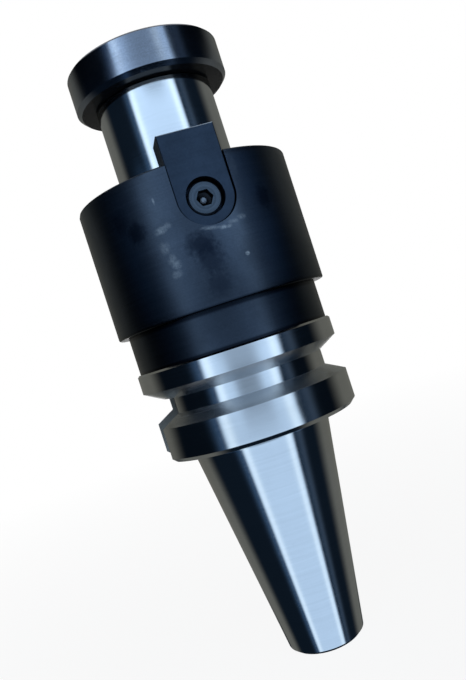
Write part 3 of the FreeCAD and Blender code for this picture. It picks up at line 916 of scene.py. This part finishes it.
class ARBOR_OT_key_screws(bpy.types.Operator):
    """Build the two screws that hold the drive keys"""

    bl_idname = "arbor.key_screws"
    bl_label = "Key screws"

    def execute(self, context):
        size = context.scene.arbor_screws
        colours = context.scene.arbor_finishes
        centre = (0, 0, KEY_AXIS)
        finish = turned_steel("screw_steel", colours.key_screw, (0.30, 0.40), 1500.0, "Y", 6e-6,
                              centre, ringed=0.3)
        # Painted shade inside the socket and under the head.
        socket = turned_steel("screw_socket", colours.socket, (0.34, 0.44), 1500.0, "Y", 4e-6,
                              centre)
        # Painted highlight on the head's chamfer and at the bottom of the socket.
        rim = turned_steel("screw_rim", colours.rim, (0.34, 0.44), 3000.0, "Y", 4e-6,
                           centre, ringed=0.2)
        seat = -KEY_SCREW_LOW.y - size.key_head_height
        shank_length = seat + KEY_SCREW_HIGH.y
        grids = screw_grids(size.key_shank, shank_length, size.key_point, size.key_pitch, size.key_head,
                            size.key_head_height, size.key_lower_edge, size.key_upper_edge,
                            size.key_socket, size.key_socket_depth, rim=RIM)
        for side, end in ((1, "front"), (-1, "rear")):
            matrix = outwards(side) @ Matrix.Translation((0, 0, seat))
            piece = closed_skin(f"cap_screw_{end}", placed(grids, matrix), (finish, finish, socket, rim))
            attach(piece, "arbor")
            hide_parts(f"key_screw_{end}")
        return {"FINISHED"}


class ARBOR_OT_lock_screw(bpy.types.Operator):
    """Build the cutter retaining screw with its wide head"""

    bl_idname = "arbor.lock_screw"
    bl_label = "Retaining screw"

    def execute(self, context):
        size = context.scene.arbor_screws
        colours = context.scene.arbor_finishes
        head = turned_steel("black_head", colours.head, (0.12, 0.17), 4200.0, "Z", 3e-6)
        shank = turned_steel("black_thread", colours.head, (0.30, 0.40))
        # Painted shade under the head, in the socket and at the drilled point.
        under = turned_steel("black_seat", colours.seat, (0.15, 0.20))
        dull = under.node_tree.nodes["Principled BSDF"].inputs
        dull["Metallic"].default_value = 0.0
        dull["Specular IOR Level"].default_value = 0.05
        grids = screw_grids(size.lock_shank, PILOT_END - SCREW_END, size.lock_point, size.lock_pitch,
                            HEAD_RADIUS, HEAD_TOP - PILOT_END, size.lock_lower_edge, size.lock_upper_edge,
                            size.lock_socket, size.lock_socket_depth)
        matrix = Matrix.Translation((0, 0, PILOT_END))
        piece = closed_skin("retaining_screw", placed(grids, matrix), (head, shank, under, under))
        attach(piece, "retaining_screw")
        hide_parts("lock_screw")
        return {"FINISHED"}


def edge_step(value, edge, width):
    """Rises from 0 to 1 as the value passes the edge, within the given width, as a smooth step."""
    t = np.clip((value - edge) / width + 0.5, 0, 1)
    return t * t * (3 - 2 * t)


def hump(value, centre, width):
    """A bell about the centre: exp(-x^2), where x is the distance over the width."""
    return np.exp(-((value - centre) / width) ** 2)


def block(value, centre, width):
    """A bell with a flat top about the centre: exp(-x^4)."""
    return np.exp(-((value - centre) / width) ** 4)


def tent_glow(bearing, rise):
    """Light that comes from each direction of the tent, in degrees from the camera and over the horizon.
    A window in front with a brighter band at each side, dark blue walls beside it with a faint strip on
    the right, grey walls behind and a lighter ceiling. What stands before the window dims its middle. From
    the camera the taper mirrors the rises under -24, the flange those from -9 to 2, neck and body those up
    to 16, the pilot those up to 23, and the head of the retaining screw those over it."""
    away = np.abs((bearing + 180) % 360 - 180)
    high = edge_step(rise, 23.0, 1.0)
    body_level = edge_step(rise, 2.5, 3) * (1 - edge_step(rise, 15.6, 1.6))

    left = -39.5 - 3.5 * edge_step(rise, 4, 24) - 0.6 * hump(rise, -6, 2.5) + 5.5 * high
    right = 49.5 - 3.0 * hump(rise, -7, 2.5) - 3.5 * high
    window = edge_step(bearing, left, 6) * (1 - edge_step(bearing, right, 6))
    window = window * edge_step(rise, -51, 10) * (1 - edge_step(rise, 42, 16))
    level = 1 + 0.20 * edge_step(rise, -5, 50) + 0.12 * edge_step(rise, 20, 4)

    camera = 0.64 * block(bearing, 4.5, 18) * hump(rise, -4.3, 3)
    torso = 0.68 * block(bearing, 2, 24) * edge_step(rise, -0.5, 14) * (1 - edge_step(rise, 16, 2))
    brim = 22.15 + 0.6 * ((bearing - 10) / 24) ** 2
    top_light = 1 - 0.38 * edge_step(rise, 25.4, 2)
    shade = 0.70 * block(bearing, 9, 27) * edge_step(rise, brim, 0.2) * top_light
    dip = 0.16 * hump(rise, -8, 2.5)
    middle = (1 - camera) * (1 - torso) * (1 - shade) * (1 - dip) * level

    bands = hump(bearing, left + 6.5 + 1.5 * high, 5.5) + hump(bearing, right - 7.5 - 7 * high, 5.5)
    bands = bands * (1 + high * (0.75 * edge_step(rise, 25, 1.5) - 0.45))
    strip = hump(bearing, 63, 6.5) * (1 + 4 * body_level)
    toe = 4 * hump(bearing, left - 4, 7) + hump(bearing, 54, 8)
    sides = (0.6 * hump(bearing, -64, 18) + hump(bearing, 70, 18)) * body_level
    wall = (1 - window) * (1 + 1.2 * edge_step(-rise, 18, 8) + 1.2 * edge_step(rise, 16, 4) - 1.7 * high)

    behind = edge_step(bearing, 107 + 16 * high, 30)
    behind = behind + edge_step(-bearing, 111 + 8 * high - 5 * hump(rise, -4, 5), 28)
    dark_corner = edge_step(away, 152, 12) * edge_step(np.abs(rise), 26, 8)
    behind = behind * edge_step(rise, -62, 14) * (1 - dark_corner)
    ceiling = edge_step(rise, 38 + 18 * hump(away, 130, 24), 14) * (1 - edge_step(rise, 74, 14))
    parts = (
        (window * middle, (0.66, 0.89, 1.18)),
        (bands * window * level * (1 + 0.6 * body_level), (0.30, 0.32, 0.28)),
        (strip, (0.034, 0.052, 0.080)),
        (toe * (1 - window), (0.009, 0.019, 0.037)),
        (sides, (0.055, 0.125, 0.25)),
        (wall, (0.0025, 0.005, 0.009)),
        (behind, (0.148, 0.147, 0.125)),
        (ceiling * (0.35 + 0.20 * behind), (1.0, 1.03, 1.08)),
    )
    return sum(part[..., None] * np.array(tint) for part, tint in parts)


def tent_panel(studio, bearings, rises, step):
    """A stretch of the shell between two bearings and two rises, and the glow of its points. Its rows lie
    closer at the brim, where the glow changes fast. A point of the shell is at radius times (cos rise sin
    turn, -cos rise cos turn, sin rise) from the point that the camera looks at."""
    bearing = line(*bearings, int((bearings[1] - bearings[0]) / step))[None, :]
    brim_rows = line(21.4, 23.4, 20)
    brim_rows = brim_rows[(brim_rows > rises[0]) & (brim_rows < rises[1])]
    rise = np.union1d(line(*rises, int((rises[1] - rises[0]) / step)), brim_rows)[:, None]
    turn = studio.azimuth + np.radians(bearing)
    flat = studio.tent_radius * np.cos(np.radians(rise))
    height = studio.aim_height + studio.tent_radius * np.sin(np.radians(rise))
    points = np.stack(np.broadcast_arrays(flat * np.sin(turn), -flat * np.cos(turn), height), -1)
    glow = tent_glow(bearing, rise)
    return points, np.concatenate((glow, np.ones((*glow.shape[:2], 1))), -1)


def light_tent(studio):
    """A shell round the part whose glow is a function of bearing and rise. Behind the part it has an
    opening, so that the steel shows the white background there too. The camera looks through it."""
    gap = studio.opening
    opening_low, opening_high = -14, 10
    step = 1.0
    panels = [
        tent_panel(studio, (-180 + gap, 180 - gap), (-90, 90), step),
        tent_panel(studio, (180 - gap, 180 + gap), (-90, opening_low), step),
        tent_panel(studio, (180 - gap, 180 + gap), (opening_high, 90), step),
    ]
    starts = np.cumsum([0] + [points.shape[0] * points.shape[1] for points, glow in panels])
    faces = [grid_faces(*points.shape[:2], start) for (points, glow), start in zip(panels, starts)]
    mesh = bpy.data.meshes.new("light_tent")
    every_point = np.concatenate([points.reshape(-1, 3) for points, glow in panels])
    mesh.from_pydata(every_point.tolist(), [], np.concatenate(faces).tolist())
    layer = mesh.color_attributes.new("glow", "FLOAT_COLOR", "POINT")
    every_glow = np.concatenate([glow.reshape(-1, 4) for points, glow in panels])
    layer.data.foreach_set("color", every_glow.astype(np.float32).ravel())
    mesh.shade_smooth()
    tent = bpy.data.objects.new("light_tent", mesh)
    bpy.context.scene.collection.objects.link(tent)
    tent.visible_camera = False

    cloth = bpy.data.materials.new("tent_cloth")
    cloth.use_nodes = True
    nodes = cloth.node_tree.nodes
    nodes.clear()
    glow_colour = nodes.new("ShaderNodeAttribute")
    glow_colour.attribute_name = "glow"
    emission = nodes.new("ShaderNodeEmission")
    output = nodes.new("ShaderNodeOutputMaterial")
    cloth.node_tree.links.new(glow_colour.outputs["Color"], emission.inputs["Color"])
    cloth.node_tree.links.new(emission.outputs[0], output.inputs["Surface"])
    mesh.materials.append(cloth)
    return tent


def pale_floor(studio):
    """A plain white floor under the small end. It looks white to the camera and keeps the part's shadow.
    The steel mirrors it only where mirror_floor is set, and otherwise mirrors the tent below it, so the
    floor's Is Glossy Ray has an effect only with that setting."""
    half = studio.floor_size
    corners = ((-half, -half), (half, -half), (half, half), (-half, half))
    mesh = bpy.data.meshes.new("floor")
    mesh.from_pydata([(x, y, SMALL_END) for x, y in corners], [], [(0, 1, 2, 3)])
    floor = bpy.data.objects.new("floor", mesh)
    bpy.context.scene.collection.objects.link(floor)
    floor.visible_glossy = studio.mirror_floor

    paint = Shader("white_floor")
    tree = paint.tree
    tree.nodes.remove(paint.surface)
    path = paint.add("ShaderNodeLightPath").outputs
    seen = paint.math("MAXIMUM", path["Is Camera Ray"],
                      paint.math("MAXIMUM", path["Is Glossy Ray"], path["Is Transmission Ray"]))
    shadow_end, plain_start = 0.06, 0.4
    far = paint.vector("LENGTH", paint.place, output="Value")
    plain = paint.spread(far, shadow_end, plain_start, 0.91, 1.0)
    diffuse = paint.add("ShaderNodeBsdfDiffuse", {"Color": (0.9, 0.9, 0.9, 1)}).outputs[0]
    white = paint.add("ShaderNodeEmission", {"Strength": 1.0}).outputs[0]
    share_of_white = paint.math("MULTIPLY", seen, plain)
    mix = paint.add("ShaderNodeMixShader", {0: share_of_white, 1: diffuse, 2: white}).outputs[0]
    tree.links.new(mix, tree.nodes["Material Output"].inputs["Surface"])
    mesh.materials.append(paint.material)
    return floor


def white_world():
    """A plain white world: the background, and the light that comes in behind the part."""
    world = bpy.data.worlds.new("white")
    world.use_nodes = True
    background = world.node_tree.nodes["Background"]
    background.inputs["Color"].default_value = (1, 1, 1, 1)
    background.inputs["Strength"].default_value = 1.0
    bpy.context.scene.world = world


def photo_camera(studio):
    """The camera on its bearing, level with the flange, leaning so that the part stands slanted."""
    data = bpy.data.cameras.new("camera")
    data.lens = studio.lens
    data.sensor_width = 36
    data.clip_start = 0.01
    data.clip_end = 10
    camera = bpy.data.objects.new("camera", data)
    bpy.context.scene.collection.objects.link(camera)
    across, back = math.sin(studio.azimuth), math.cos(studio.azimuth)
    camera.location = (studio.distance * across, -studio.distance * back, studio.camera_height)
    aim = Vector((studio.aim_side * back, studio.aim_side * across, studio.aim_height))
    sight = aim - camera.location
    level = sight.to_track_quat("-Z", "Y").to_matrix()
    lean = Matrix.Rotation(-studio.roll, 3, "Z")
    camera.rotation_euler = (level @ lean).to_euler()
    bpy.context.scene.camera = camera


class ARBOR_OT_studio(bpy.types.Operator):
    """Set up the white floor, the light tent and the camera"""

    bl_idname = "arbor.studio"
    bl_label = "Studio"

    def execute(self, context):
        studio = context.scene.arbor_studio
        white_world()
        pale_floor(studio)
        light_tent(studio)
        photo_camera(studio)
        context.scene.view_settings.view_transform = "Standard"
        return {"FINISHED"}


PIECES = (ARBOR_OT_body, ARBOR_OT_keys, ARBOR_OT_key_screws, ARBOR_OT_lock_screw, ARBOR_OT_studio)


class ARBOR_PT_panel(bpy.types.Panel):
    """Lists the pieces of the arbor and the studio"""

    bl_idname = "ARBOR_PT_panel"
    bl_label = "Shell mill arbor"
    bl_space_type = "VIEW_3D"
    bl_region_type = "UI"
    bl_category = "Arbor"

    def draw(self, context):
        for piece in PIECES:
            self.layout.operator(piece.bl_idname)
        for group in SETTINGS:
            settings = getattr(context.scene, group)
            column = self.layout.column(align=True)
            for name in settings.bl_rna.properties.keys():
                if name not in ("rna_type", "name"):
                    column.prop(settings, name)


SETTINGS = {
    "arbor_sizes": ArborSizes,
    "arbor_keys": KeySizes,
    "arbor_screws": ScrewSizes,
    "arbor_finishes": FinishColours,
    "arbor_studio": StudioSettings,
}
CLASSES = (*SETTINGS.values(), *PIECES, ARBOR_PT_panel)


def register():
    """Register the classes and give the scene its groups of settings."""
    for item in CLASSES:
        bpy.utils.register_class(item)
    for name, group in SETTINGS.items():
        setattr(bpy.types.Scene, name, bpy.props.PointerProperty(type=group))


def unregister():
    """Take both away again."""
    for name in SETTINGS:
        delattr(bpy.types.Scene, name)
    for item in reversed(CLASSES):
        bpy.utils.unregister_class(item)


def main():
    """Build every piece and the studio."""
    register()
    bpy.ops.arbor.body()
    bpy.ops.arbor.keys()
    bpy.ops.arbor.key_screws()
    bpy.ops.arbor.lock_screw()
    bpy.ops.arbor.studio()


if __name__ == "__main__":
    main()
